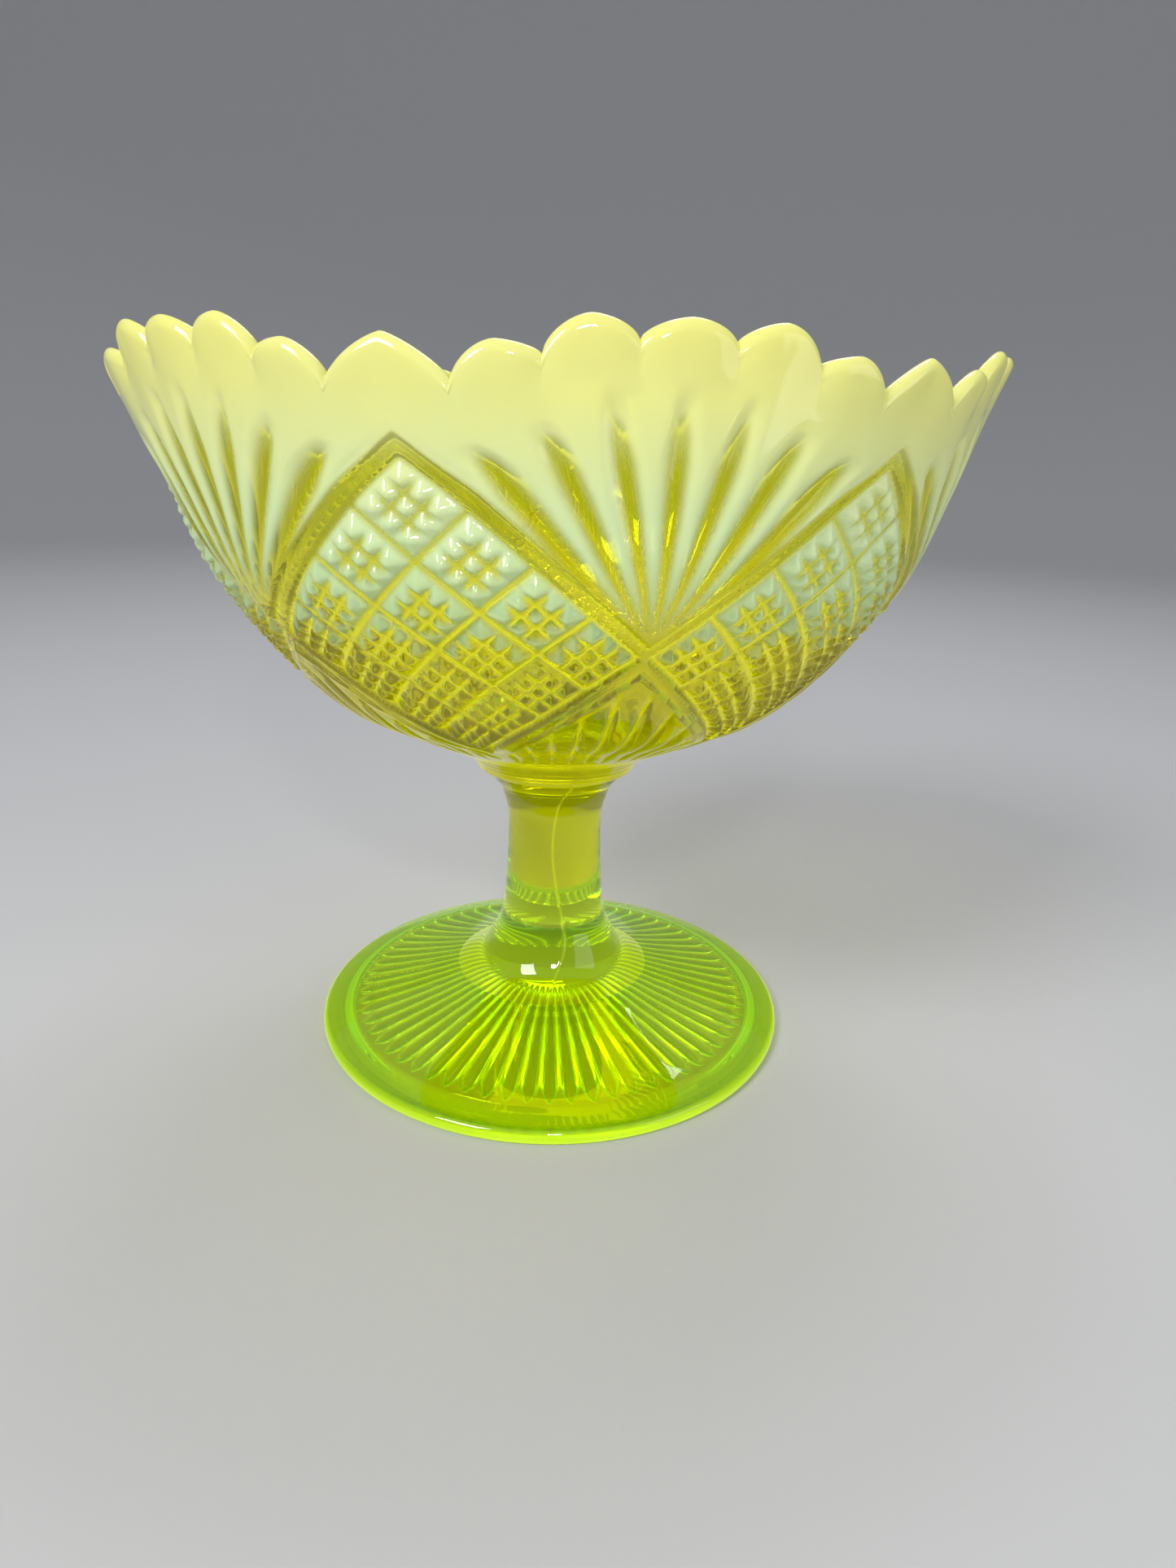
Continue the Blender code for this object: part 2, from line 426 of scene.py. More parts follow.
class Effects:
    """The shared groups, each built once."""

    def __init__(self) -> None:
        """Build each group."""
        self.fire_polish = self._fire_polish()
        self.shelf_wear = self._shelf_wear()
        self.heat_strike = self._heat_strike()
        self.painted_fluorescence = self._painted_fluorescence()

    @staticmethod
    def _fire_polish() -> bpy.types.NodeTree:
        """A slow wave with a finer orange peel on it, and uneven gloss.

        Returns:
            The group.
        """
        group = EffectGroup(
            "fire_polish",
            {
                "Wave Scale": 60.0,
                "Peel Scale": 420.0,
                "Peel Share": 0.3,
                "Gloss": 0.03,
                "Haze": 0.08,
            },
            {"Height": "NodeSocketFloat", "Roughness": "NodeSocketFloat"},
        )
        place = group.place()
        wave = group.noise(place, group.given("Wave Scale"), 1.5)
        peel = group.noise(place, group.given("Peel Scale"), 2.0)
        group.give("Height", group.mixed(group.given("Peel Share"), wave, peel))
        gloss, haze = group.given("Gloss"), group.given("Haze")
        rough = group.mapped(wave, From_Min=0.45, From_Max=0.75, To_Min=gloss, To_Max=haze)
        group.give("Roughness", rough)
        return group.tree

    @staticmethod
    def _shelf_wear() -> bpy.types.NodeTree:
        """Fine scratches on the ring that the dish stands on.

        Returns:
            The group.
        """
        group = EffectGroup(
            "shelf_wear",
            {"Reach": 0.0005, "Worn": 0.38, "Roughness": 0.05},
            {"Roughness": "NodeSocketFloat"},
        )
        place = group.place()
        height = group.height(place)
        low = group.mapped(height, From_Max=group.given("Reach"), To_Min=1.0, To_Max=0.0)
        patchy = group.reckon("MULTIPLY", low, group.noise(place, 900.0, 4.0))
        rough = group.mixed(patchy, group.given("Roughness"), group.given("Worn"))
        group.give("Roughness", rough)
        return group.tree

    @staticmethod
    def _painted_fluorescence() -> bpy.types.NodeTree:
        """Painted glow: an even emission that stands in for the glass's fluorescence, and more
        painted light where light carried through the glass would come out.

        Returns:
            The group.
        """
        group = EffectGroup(
            "painted_fluorescence",
            {"Even": 0.2, "Edge": 1.0, "Redness": 1.0},
            {"Colour": "NodeSocketColor"},
        )
        noise = group.noise(group.place(), 70.0, 2.0)
        lift = group.reckon("MULTIPLY", group.stored(Attribute.EDGE), group.given("Edge"))
        uneven = group.mapped(noise, To_Min=0.7, To_Max=1.3)
        level = group.reckon("MULTIPLY_ADD", group.given("Even"), uneven, lift)
        shade = group.add("SeparateColor", {"Color": group.ramp(level, PAINTED_GLOW_STOPS)}).outputs
        red = group.reckon("MULTIPLY", shade["Red"], group.given("Redness"))
        parts = {"Red": red, "Green": shade["Green"], "Blue": shade["Blue"]}
        group.give("Colour", group.add("CombineColor", parts).outputs["Color"])
        return group.tree

    @staticmethod
    def _heat_strike() -> bpy.types.NodeTree:
        """Where the glass turned milky, and its colour: lemon cream at the rim, bluish low down.

        Returns:
            The group.
        """
        group = EffectGroup(
            "heat_strike",
            {"Cloud Scale": 90.0, "Cloud": 0.16},
            {"Mask": "NodeSocketFloat", "Colour": "NodeSocketColor"},
        )
        place = group.place()
        struck = group.stored(Attribute.STRIKE)
        noise = group.reckon("SUBTRACT", group.noise(place, group.given("Cloud Scale"), 3.0), 0.5)
        cloud = group.reckon("MULTIPLY", noise, group.given("Cloud"))
        # The clouds only show where the glass is part milky.
        part = group.reckon("PINGPONG", struck, 0.5)
        feeds = {0: cloud, 1: part, 2: struck}
        mask = group.add("Math", feeds, operation="MULTIPLY_ADD", use_clamp=True)
        group.give("Mask", mask.outputs["Value"])
        share = group.mapped(group.height(place), From_Min=MILKY_FROM, From_Max=MILKY_TO)
        drift = group.reckon("MULTIPLY_ADD", noise, 0.10, share)
        group.give("Colour", group.ramp(drift, OPAL_STOPS))
        return group.tree


def empty_material(name: str, colour: Colour) -> tuple[bpy.types.Material, Wiring]:
    """A material without nodes.

    Args:
        name: its name.
        colour: the one that it has in plain views.

    Returns:
        The material and its tree.
    """
    made = bpy.data.materials.new(name)
    made.use_nodes = True
    made.node_tree.nodes.clear()
    made.diffuse_color = (*colour, 1.0)
    return made, Wiring(made.node_tree)


@dataclass(frozen=True)
class ClearGlass:
    """Yellow-green glass with a painted glow: emission that stands in for its fluorescence.

    absorb is the colour that a thick piece keeps, and density how fast the rest goes, per metre.
    even_painted_glow and painted_edge_glow are the glow all over and what is added at its bright
    edges.
    """

    name: str
    absorb: Colour
    density: float
    even_painted_glow: float
    painted_edge_glow: float
    bump: float
    painted_glow_strength: float = 0.5
    redness: float = 1.0
    surface: Colour = (1.0, 1.0, 0.86)
    ior: float = 1.51
    mirror: float = 0.25
    gloss: float = 0.012
    haze: float = 0.03
    bump_depth: float = 0.0004
    wave_scale: float = 60.0
    worn_base: bool = False

    def surface_shader(self, tree: Wiring, effects: Effects) -> bpy.types.NodeSocket:
        """The surface of the glass.

        Args:
            tree: the tree of the material that it goes in.
            effects: the shared groups.

        Returns:
            The shader.
        """
        # Painted glow: emission standing in for fluorescence, brighter at the painted bright edges.
        painted_glow = tree.add(
            "Group",
            {"Even": self.even_painted_glow, "Edge": self.painted_edge_glow, "Redness": self.redness},
            node_tree=effects.painted_fluorescence,
        )
        ripple = tree.add(
            "Group",
            {"Wave Scale": self.wave_scale, "Gloss": self.gloss, "Haze": self.haze},
            node_tree=effects.fire_polish,
        )
        rough = ripple.outputs["Roughness"]
        if self.worn_base:
            wear = tree.add("Group", {"Roughness": rough}, node_tree=effects.shelf_wear)
            rough = wear.outputs["Roughness"]
        glass = tree.add(
            "BsdfPrincipled",
            {
                "Base Color": (*self.surface, 1.0),
                "Metallic": 0.0,
                "Roughness": rough,
                "IOR": self.ior,
                "Alpha": tree.stored(Attribute.OPEN),
                "Normal": tree.relief(ripple.outputs["Height"], self.bump, self.bump_depth),
                "Specular IOR Level": self.mirror,
                "Transmission Weight": 1.0,
                "Emission Color": painted_glow.outputs["Colour"],
                "Emission Strength": self.painted_glow_strength,
            },
        )
        return glass.outputs["BSDF"]

    def inside_shader(self, tree: Wiring) -> bpy.types.NodeSocket:
        """The inside of the glass, which takes out the other colours."""
        feeds = {"Color": (*self.absorb, 1.0), "Density": self.density}
        return tree.add("VolumeAbsorption", feeds).outputs["Volume"]

    def material(self, effects: Effects) -> bpy.types.Material:
        """The whole material.

        Args:
            effects: the shared groups.

        Returns:
            The material.
        """
        made, tree = empty_material(self.name, self.absorb)
        surface = self.surface_shader(tree, effects)
        tree.add("OutputMaterial", {"Surface": surface, "Volume": self.inside_shader(tree)})
        return made


@dataclass(frozen=True)
class OpalGlass:
    """Clear glass whose reheated parts are milky."""

    name: str
    clear: ClearGlass
    # Painted glow on the milky glass: emission standing in for light shining through it and for its
    # fluorescence.
    painted_glow: Colour = (0.62, 0.80, 0.16)
    painted_glow_strength: float = 0.07
    gloss: float = 0.06
    bump: float = 0.05
    bump_depth: float = 0.0003
    wave_scale: float = 110.0
    see_through: float = 0.12
    scatter: float = 0.35
    scatter_radius: Colour = (1.0, 1.0, 0.4)
    scatter_depth: float = 0.003

    def milky_shader(
        self, tree: Wiring, colour: bpy.types.NodeSocket, effects: Effects
    ) -> bpy.types.NodeSocket:
        """The surface of the milky glass.

        Args:
            tree: the tree of the material that it goes in.
            colour: the colour at each place.
            effects: the shared groups.

        Returns:
            The shader.
        """
        waves = {"Wave Scale": self.wave_scale}
        ripple = tree.add("Group", waves, node_tree=effects.fire_polish)
        milk = tree.add(
            "BsdfPrincipled",
            {
                "Base Color": colour,
                "Metallic": 0.0,
                "Roughness": self.gloss,
                "IOR": self.clear.ior,
                "Normal": tree.relief(ripple.outputs["Height"], self.bump, self.bump_depth),
                "Subsurface Weight": self.scatter,
                "Subsurface Radius": self.scatter_radius,
                "Subsurface Scale": self.scatter_depth,
                "Transmission Weight": self.see_through,
                "Emission Color": (*self.painted_glow, 1.0),
                "Emission Strength": self.painted_glow_strength,
            },
        )
        return milk.outputs["BSDF"]

    def material(self, effects: Effects) -> bpy.types.Material:
        """The whole material: the clear shader and the milky one, mixed by how far it struck.

        Args:
            effects: the shared groups.

        Returns:
            The material.
        """
        made, tree = empty_material(self.name, OPAL_STOPS[-1][1])
        strike = tree.add("Group", node_tree=effects.heat_strike).outputs
        clear = self.clear.surface_shader(tree, effects)
        milky = self.milky_shader(tree, strike["Colour"], effects)
        mixed = tree.add("MixShader", {"Fac": strike["Mask"], 1: clear, 2: milky})
        surface, inside = mixed.outputs["Shader"], self.clear.inside_shader(tree)
        tree.add("OutputMaterial", {"Surface": surface, "Volume": inside})
        return made


BOWL_CLEAR = ClearGlass(
    name="bowl_clear",
    absorb=(0.983, 0.980, 0.01),
    density=2600.0,
    even_painted_glow=0.085,
    painted_edge_glow=0.45,
    bump=0.02,
)
BOWL_GLASS = OpalGlass(name="opal_uranium_glass", clear=BOWL_CLEAR)
WAFER_GLASS = ClearGlass(
    name="wafer_uranium_glass",
    absorb=(0.975, 0.975, 0.01),
    density=900.0,
    even_painted_glow=0.22,
    painted_edge_glow=0.5,
    bump=0.04,
)
STEM_GLASS = ClearGlass(
    name="stem_uranium_glass",
    absorb=(0.988, 0.991, 0.01),
    density=900.0,
    even_painted_glow=0.04,
    painted_edge_glow=0.6,
    bump=0.09,
)
FOOT_GLASS = ClearGlass(
    name="clear_uranium_glass",
    absorb=(0.908, 0.963, 0.01),
    density=900.0,
    even_painted_glow=0.06,
    painted_edge_glow=1.0,
    bump=0.03,
    redness=0.80,
    wave_scale=90.0,
    worn_base=True,
)


# ---------------------------------------------------------------- pieces


def mellowed(values: np.ndarray, reach: int, crisp: np.ndarray) -> np.ndarray:
    """Values round a circle, blurred with their neighbours except where they stay crisp.

    Args:
        values: one for each angle.
        reach: how many neighbours on each side take part.
        crisp: how much of the unblurred values stays, at each height and angle.

    Returns:
        The values at each height and angle.
    """
    weights = np.hanning(2 * reach + 3)[1:-1]
    wrapped = np.concatenate([values[-reach:], values, values[:reach]])
    blurred = np.convolve(wrapped, weights / weights.sum(), mode="valid")
    return blurred + (values - blurred) * crisp


@dataclass(frozen=True)
class Scallops:
    """The waves of the rim, counted from the middle of a fan in degrees."""

    ends: tuple[float, ...] = (5.0, 14.5, 23.4, 36.6)
    tops: tuple[float, ...] = (0.1777, 0.1777, 0.1731, 0.1740)
    notches: tuple[float, ...] = (0.1738, 0.1710, 0.1664, 0.1664)
    fullness: tuple[float, ...] = (0.62, 0.62, 0.64, 0.78)
    steps: tuple[int, ...] = (18, 34, 32, 24)

    def even_angles(self, repeats: int) -> np.ndarray:
        """Angles round the bowl in degrees, so spaced that points fall on every notch.

        Args:
            repeats: how many fans the bowl has.

        Returns:
            The angles, from the middle of the first fan.
        """
        knots = np.concatenate([[0], np.cumsum(self.steps)])
        half = 180.0 / repeats
        degrees = [0.0, *self.ends[:-1], half]
        quarter = np.interp(np.arange(knots[-1]), knots, degrees)
        mirrored = 2 * half - np.interp(np.arange(knots[-1], 0, -1), knots, degrees)
        one = np.concatenate([quarter, mirrored])
        return np.concatenate([one + 2 * half * k for k in range(repeats)])

    def across(self, turn: np.ndarray) -> tuple[np.ndarray, np.ndarray]:
        """Where each angle is in its scallop.

        Args:
            turn: degrees from the nearest fan's middle.

        Returns:
            How far across its scallop, from -1 to 1, and the rim's height there.
        """
        fold = np.abs(turn)
        starts = np.array([-self.ends[0], *self.ends[:-1]])
        ends = np.array(self.ends)
        which = np.minimum(np.searchsorted(ends, fold, side="left"), len(ends) - 1)
        across = 2 * (fold - starts[which]) / (ends[which] - starts[which]) - 1
        before = np.array([self.notches[0], *self.notches[:-1]])[which]
        notch = np.where(across < 0, before, np.array(self.notches)[which])
        top = np.array(self.tops)[which]
        full = np.array(self.fullness)[which]
        arch = np.maximum(1 - np.abs(across) ** (1 / full), 0) ** full
        return across, notch + (top - notch) * arch


@dataclass(frozen=True)
class MilkReach:
    """How far down its cuts a part of the pattern turned milky, at each height."""

    heights: tuple[float, ...]
    shares: tuple[float, ...]
    softness: float

    def milk(self, share: np.ndarray, height: np.ndarray) -> np.ndarray:
        """How milky each point is.

        Args:
            share: how far down its own cut each point lies, from 0 to 1.
            height: its height.

        Returns:
            0 where the glass stayed clear and 1 where it is all milky.
        """
        least = np.interp(height, self.heights, self.shares)
        strength = np.interp(height, MILK_HEIGHTS, MILK_STRENGTHS)
        return strength * ease(self.softness, -self.softness, share - least)


FAN_MILK = MilkReach(
    heights=(0.119, 0.124, 0.129, 0.134, 0.140, 0.150, 0.158, 0.163, 0.168),
    shares=(-0.30, -0.04, 0.10, 0.26, 0.44, 0.60, 0.68, 0.80, 1.60),
    softness=0.40,
)
PANEL_MILK = MilkReach(
    heights=(0.112, 0.116, 0.120, 0.125, 0.132, 0.140, 0.150, 0.160),
    shares=(-0.20, 0.06, 0.28, 0.50, 0.66, 0.76, 0.80, 0.82),
    softness=0.16,
)
MILK_HEIGHTS = (0.112, 0.118, 0.124, 0.130, 0.138, 0.150)
MILK_STRENGTHS = (0.0, 0.45, 0.72, 0.85, 0.93, 1.0)


@dataclass(frozen=True)
class Fan:
    """One fan of flutes that spread up from a star.  Depths and distances are in millimetres.

    Each flute is a crisp V near the star and a soft, wide hollow higher up.
    """

    star_height: float = 0.1200  # metres
    pitch: float = 7.4  # degrees round the bowl between the tops of two flutes
    tops: tuple[float, ...] = (0.1650, 0.1645, 0.1617, 0.1575)  # metres
    depth: float = 2.1
    steepness: float = 0.30
    runs_out: tuple[float, float] = (8.0, 3.0)  # before and past its top
    vee_share: float = 0.60
    vee_power: float = 1.8
    vee_core: float = 0.42
    hollow_half: float = 0.95
    hollow_from: tuple[float, float] = (10.0, 28.0)  # from the star
    taper: tuple[float, float] = (14.0, 0.9)  # how far before its top it narrows, and by how much
    lip_depth: float = 0.9
    lip_rise: float = 0.16
    lip_width: float = 0.30  # cells
    ridge_place: float = 0.035  # cells
    edge_width: float = 0.10  # cells

    def flute(self, away: np.ndarray, reach: np.ndarray, end: float) -> np.ndarray:
        """How deep a flute is, against its middle.

        Args:
            away: how far off its middle each point is, in half gaps between flutes.
            reach: each point's distance from the star.
            end: the distance of the flute's top.

        Returns:
            1 along its middle and 0 outside it.
        """
        vee = self.vee_share * np.maximum(1 - away, 0) ** self.vee_power
        vee += (1 - self.vee_share) * np.maximum(1 - away / self.vee_core, 0)
        before, by = self.taper
        hollow = 1 - ease(0.0, self.hollow_half, away * (1 + by * ease(end - before, end, reach)))
        return vee + (hollow - vee) * ease(*self.hollow_from, reach)

    def cut(
        self, fold: np.ndarray, line: np.ndarray, along: np.ndarray, edge: np.ndarray, ridge: float
    ) -> tuple[np.ndarray, np.ndarray]:
        """Cut the flutes, and the lip that runs down beside the band round the panel.

        Args:
            fold: degrees from the fan's middle.
            line: the bowl's outline.
            along: distance along the outline.
            edge: how far above the panel's band each point is, in cells.
            ridge: how high the ridge beside the band stands.

        Returns:
            Depth in millimetres, and how far down its own cut each point is, from 0 to 1.
        """
        star = np.interp(self.star_height, line[:, 1], along)
        across = np.radians(fold) * line[:, :1] / MM
        up = (along[:, None] - star) / MM
        bearing = np.arctan2(across, np.maximum(up, 0.01))
        reach = np.hypot(across, up)
        tops = [(np.interp(z, line[:, 1], along) - star) / MM for z in self.tops]
        radii = [np.interp(z, line[:, 1], line[:, 0]) / MM for z in self.tops]
        sides = [math.radians(self.pitch * k) * r for k, r in enumerate(radii)]
        bearings = [math.atan2(side, top) for side, top in zip(sides, tops)]
        gap = bearings[1] / 2
        depth = np.zeros_like(bearing)
        share = np.zeros_like(bearing)
        for side, top, aim in zip(sides, tops, bearings):
            end = math.hypot(side, top)
            flute = self.flute(np.abs(bearing - aim) / gap, reach, end)
            fade = 1 - ease(end - self.runs_out[0], end + self.runs_out[1], reach)
            deepest = np.minimum(self.depth, self.steepness * reach * gap) * fade
            depth = np.maximum(depth, deepest * flute)
            share = np.maximum(share, flute * fade)
        lip = np.minimum(self.lip_depth, self.lip_rise * reach)
        lip = lip * np.maximum(1 - edge / self.lip_width, 0) ** 2
        depth = np.maximum(depth, lip) - ridge * bump_at(edge, self.ridge_place, self.ridge_place)
        share = np.maximum(share, np.maximum(1 - edge / self.edge_width, 0))
        return np.where(up > 0, depth, 0.0), np.where(up > 0, share, 1.0)


@dataclass(frozen=True)
class Panel:
    """A diamond of cells, each of three by three pyramids, with wide mitre cuts between the cells.

    Depths are in millimetres, and widths in cells.
    """

    cells: int = 4
    mitre_depth: float = 2.5
    mitre_edge: float = 0.11
    pyramid_depth: float = 2.0
    bevel_share: float = 0.8

    def cut(self, a: np.ndarray, b: np.ndarray) -> tuple[np.ndarray, np.ndarray]:
        """Cut the pyramids and the mitres.

        Args:
            a: lattice count along one way.
            b: lattice count along the other.

        Returns:
            Depth in millimetres, and how far down a cut each point is, from 0 to 1.
        """
        parts = [part - np.floor(part) for part in (a, b)]
        border = np.minimum(*[np.minimum(part, 1 - part) for part in parts])
        pitch = (1 - 2 * self.mitre_edge) / 3
        mitre = self.mitre_depth * np.maximum(1 - border / (self.mitre_edge + pitch / 2), 0)
        lines = [np.abs(np.abs(part - 0.5) - pitch / 2) for part in parts]
        fine = self.pyramid_depth * np.maximum(1 - 2 * np.minimum(*lines) / pitch, 0)
        share = (fine - self.bevel_share * mitre) / self.pyramid_depth
        share = np.maximum(share, ease(self.mitre_edge, 0.0, border))
        return np.maximum(mitre, fine), np.clip(share, 0, 1)


@dataclass(frozen=True)
class Prisms:
    """The prisms that hang below each star.  Depths are in millimetres."""

    pitch: float = 5.4  # degrees round the bowl
    depth: float = 1.3
    floor: float = 0.35
    vee_from: float = 0.7
    fades: tuple[float, float] = (0.0842, 0.0885)  # metres
    ridge_share: float = 0.4
    ridge_place: float = 0.06  # cells
    ridge_half: float = 0.05  # cells

    def cut(
        self, fold: np.ndarray, height: np.ndarray, drop: np.ndarray, ridge: float
    ) -> np.ndarray:
        """Cut the prisms.

        Args:
            fold: degrees from the fan's middle.
            height: each point's height.
            drop: how far below the panel's band it is, in cells.
            ridge: how high the ridge beside the band stands.

        Returns:
            Depth in millimetres.
        """
        turn = fold / self.pitch
        away = np.abs(turn - np.round(turn)) * 2
        flute = 0.5 * away**2 + 0.5 * np.maximum(away - self.vee_from, 0) / (1 - self.vee_from)
        fade = ease(*self.fades, height) * np.clip(drop / 0.5, 0, 1)
        beside = self.ridge_share * ridge * bump_at(drop, self.ridge_place, self.ridge_half)
        return self.depth * fade * flute - beside + self.floor


@dataclass(frozen=True)
class PressedPattern:
    """The relief of the bowl's outer side, as depth in millimetres below its outline.

    The lattice of the panel counts a and b along its two upper edges, and a + b falls down the
    bowl.  A band runs round each panel, and the fan lies above it and the prisms below it.
    """

    fan: Fan = Fan()
    panel: Panel = Panel()
    prisms: Prisms = Prisms()
    half_repeat: float = 30.0
    lattice_turn: float = 7.35
    lattice_heights: tuple[float, ...] = (
        0.1640, 0.1544, 0.1444, 0.1347, 0.1254, 0.1170, 0.1093, 0.1020, 0.0960, 0.0900, 0.0842,
    )  # fmt: skip
    band_width: float = 0.23  # cells
    band_depth: float = 1.35
    band_least: float = 0.45
    band_deepens: tuple[float, float] = (0.100, 0.124)
    ridge: float = 0.40
    starts: tuple[float, float] = (0.0842, 0.0905)
    rounding: int = 1

    def lattice(self, fold: np.ndarray, height: np.ndarray) -> tuple[np.ndarray, np.ndarray]:
        """The two lattice counts, for degrees from the fan's middle and a height.

        Args:
            fold: degrees from the fan's middle.
            height: each point's height.

        Returns:
            The counts a and b.
        """
        fall = np.interp(-height, -np.array(self.lattice_heights), np.arange(-1.0, 10.0))
        offset = (self.half_repeat - fold) / self.lattice_turn
        return (fall + offset) / 2, (fall - offset) / 2

    def press(self, turn: np.ndarray, line: np.ndarray) -> tuple[np.ndarray, np.ndarray]:
        """The whole relief.

        Args:
            turn: degrees from the nearest fan's middle, round the bowl.
            line: the outline, from the collar to the rim.

        Returns:
            Depth in millimetres, and how milky each point is, as height by angle.
        """
        fold = np.abs(turn)[None, :] + 0 * line[:, :1]
        height = line[:, 1:] + 0 * fold
        a, b = self.lattice(fold, height)
        above = -b - self.band_width
        below = a - self.panel.cells - self.band_width
        flutes, share = self.fan.cut(fold, line, lengths_along(line), above, self.ridge)
        least = self.band_least
        band = self.band_depth * (least + (1 - least) * ease(*self.band_deepens, height))
        depth = np.where(above > 0, flutes, band)
        milk = FAN_MILK.milk(share, height) * (above > 0)
        in_panel = (b >= 0) & (a <= self.panel.cells)
        cuts, share = self.panel.cut(a, b)
        depth = np.where(in_panel, cuts, depth)
        milk = np.where(in_panel, PANEL_MILK.milk(share, height), milk)
        hanging = self.prisms.cut(fold, height, below, self.ridge)
        depth = np.where(below > 0, hanging, depth) * ease(*self.starts, height)
        return softened(depth, self.rounding), softened(milk, self.rounding)


@dataclass(frozen=True)
class Bowl:
    """The pressed bowl: oval, scalloped and part milky."""

    outline: Outline = (
        (0.0262, BOWL_JOINT),
        (0.0353, 0.0842),
        (0.0465, 0.0893),
        (0.0591, 0.0962),
        (0.0732, 0.1102),
        (0.0861, 0.1280),
        (0.0942, 0.1475),
        (0.1005, 0.1653),
        (0.1046, 0.1777),
    )
    collar_radius: float = 0.0258
    floor_height: float = 0.0885
    floor_radius: float = 0.014
    floor_blend: float = 1.7  # the wall takes over at this many times the floor's radius
    wall_base: float = 0.0075
    wall_rim: float = 0.0032
    crown: float = 0.0020
    crown_steps: int = 14
    rim_lean: float = 21.0
    oval_share: float = 0.74
    oval_from: float = 0.093
    oval_ease: float = 0.15
    repeats: int = 6
    fan_turn: float = 12.4
    lobes_from: float = 0.146
    lobe_depth: float = 0.0030
    lobe_power: float = 2.6
    lobe_blur: int = 14
    notches_crisp: tuple[float, float] = (0.1675, 0.1757)
    notch_share: float = 0.8
    arches_crisp: tuple[float, float] = (0.1730, 0.1751)
    milky_outside: tuple[float, float] = (0.1500, 0.1690)
    milky_inside: tuple[float, float] = (0.1615, 0.1725)
    # Painted light: glow along the bottoms of the lower cuts and low on the underside, standing in
    # for sparkle and light carried through the glass.
    painted_cut_glow: float = 0.8
    painted_cut_glow_high: float = 0.15  # what is left of it in the upper cuts
    cuts_brighten: tuple[float, float] = (0.142, 0.120)
    bright_depth: float = 0.35  # millimetres below its surroundings where a cut is brightest
    painted_base_glow: float = 0.35
    base_brightens: tuple[float, float] = (0.104, 0.086)
    glow_blur: int = 6
    crease: float = 60.0
    outline_steps: int = 24
    outer_rows: int = 236
    inner_rows: int = 56

    def oval(self, height: np.ndarray) -> np.ndarray:
        """The bowl's depth over its length at a height.

        Args:
            height: the heights to look up.

        Returns:
            1 low down, where the bowl is round, and less above.
        """
        top = self.outline[-1][1]
        t = np.maximum((height - self.oval_from) / (top - self.oval_from), 0)
        return 1 - (1 - self.oval_share) * (1 + self.oval_ease) * t * t / (t + self.oval_ease)

    def crown_line(self) -> np.ndarray:
        """The rounded edge of the rim, from its outer side over to its inner side.

        Returns:
            Radius and height of its points.
        """
        turns = np.linspace(0, math.pi, self.crown_steps + 2)
        lean = math.radians(self.rim_lean)
        across, up = self.wall_rim / 2 * np.cos(turns), self.crown * np.sin(turns)
        radius = across * math.cos(lean) + up * math.sin(lean)
        height = up * math.cos(lean) - across * math.sin(lean)
        line = np.stack([radius, height], axis=1)
        return line + np.array(self.outline[-1]) - line.max(axis=0)

    def outer_line(self) -> np.ndarray:
        """The outer side, from the collar up to where the rim's rounding starts."""
        return smooth_line([*self.outline[:-1], tuple(self.crown_line()[0])], self.outline_steps)

    def inner_line(self) -> np.ndarray:
        """The inside of the wall, from the rim down to the middle of the floor.

        Returns:
            Radius and height of its points.
        """
        outside = self.outer_line()
        share = np.arange(len(outside)) / (len(outside) - 1)
        wall = self.wall_base + (self.wall_rim - self.wall_base) * share
        inside = outside - outward(outside) * wall[:, None]
        inside = inside[inside[:, 0] > self.floor_blend * self.floor_radius]
        middle = (0.0, self.floor_height)
        low = smooth_line([middle, (self.floor_radius, self.floor_height), tuple(inside[0])], 8)
        return even_line(np.vstack([inside[::-1], low[::-1][1:]]), self.inner_rows + 1)[:-1]

    def under_line(self) -> np.ndarray:
        """The flat under the bowl that the wafer was fused to."""
        return np.array([(self.collar_radius * k / 3, self.outline[0][1]) for k in (1, 2, 3)])

    def scalloped(
        self, turn: np.ndarray, radius: np.ndarray, height: np.ndarray
    ) -> tuple[np.ndarray, np.ndarray]:
        """Pull the wall into lobes and notches towards the rim.

        Args:
            turn: degrees from the nearest fan's middle, round the bowl.
            radius: each point's radius, as row by angle.
            height: each point's height.

        Returns:
            The new radius and height.
        """
        top = self.outline[-1][1]
        across, rim = Scallops().across(turn)
        near_rim = ease(self.lobes_from, top, height)
        crisp = self.notch_share * ease(*self.notches_crisp, height)
        turned_in = mellowed(np.abs(across) ** self.lobe_power, self.lobe_blur, crisp)
        arch_crisp = np.maximum(crisp, ease(*self.arches_crisp, height))
        new_top = mellowed(rim, self.lobe_blur, arch_crisp)
        radius = radius - self.lobe_depth * near_rim**1.5 * turned_in
        return radius, height + near_rim * (new_top - top)

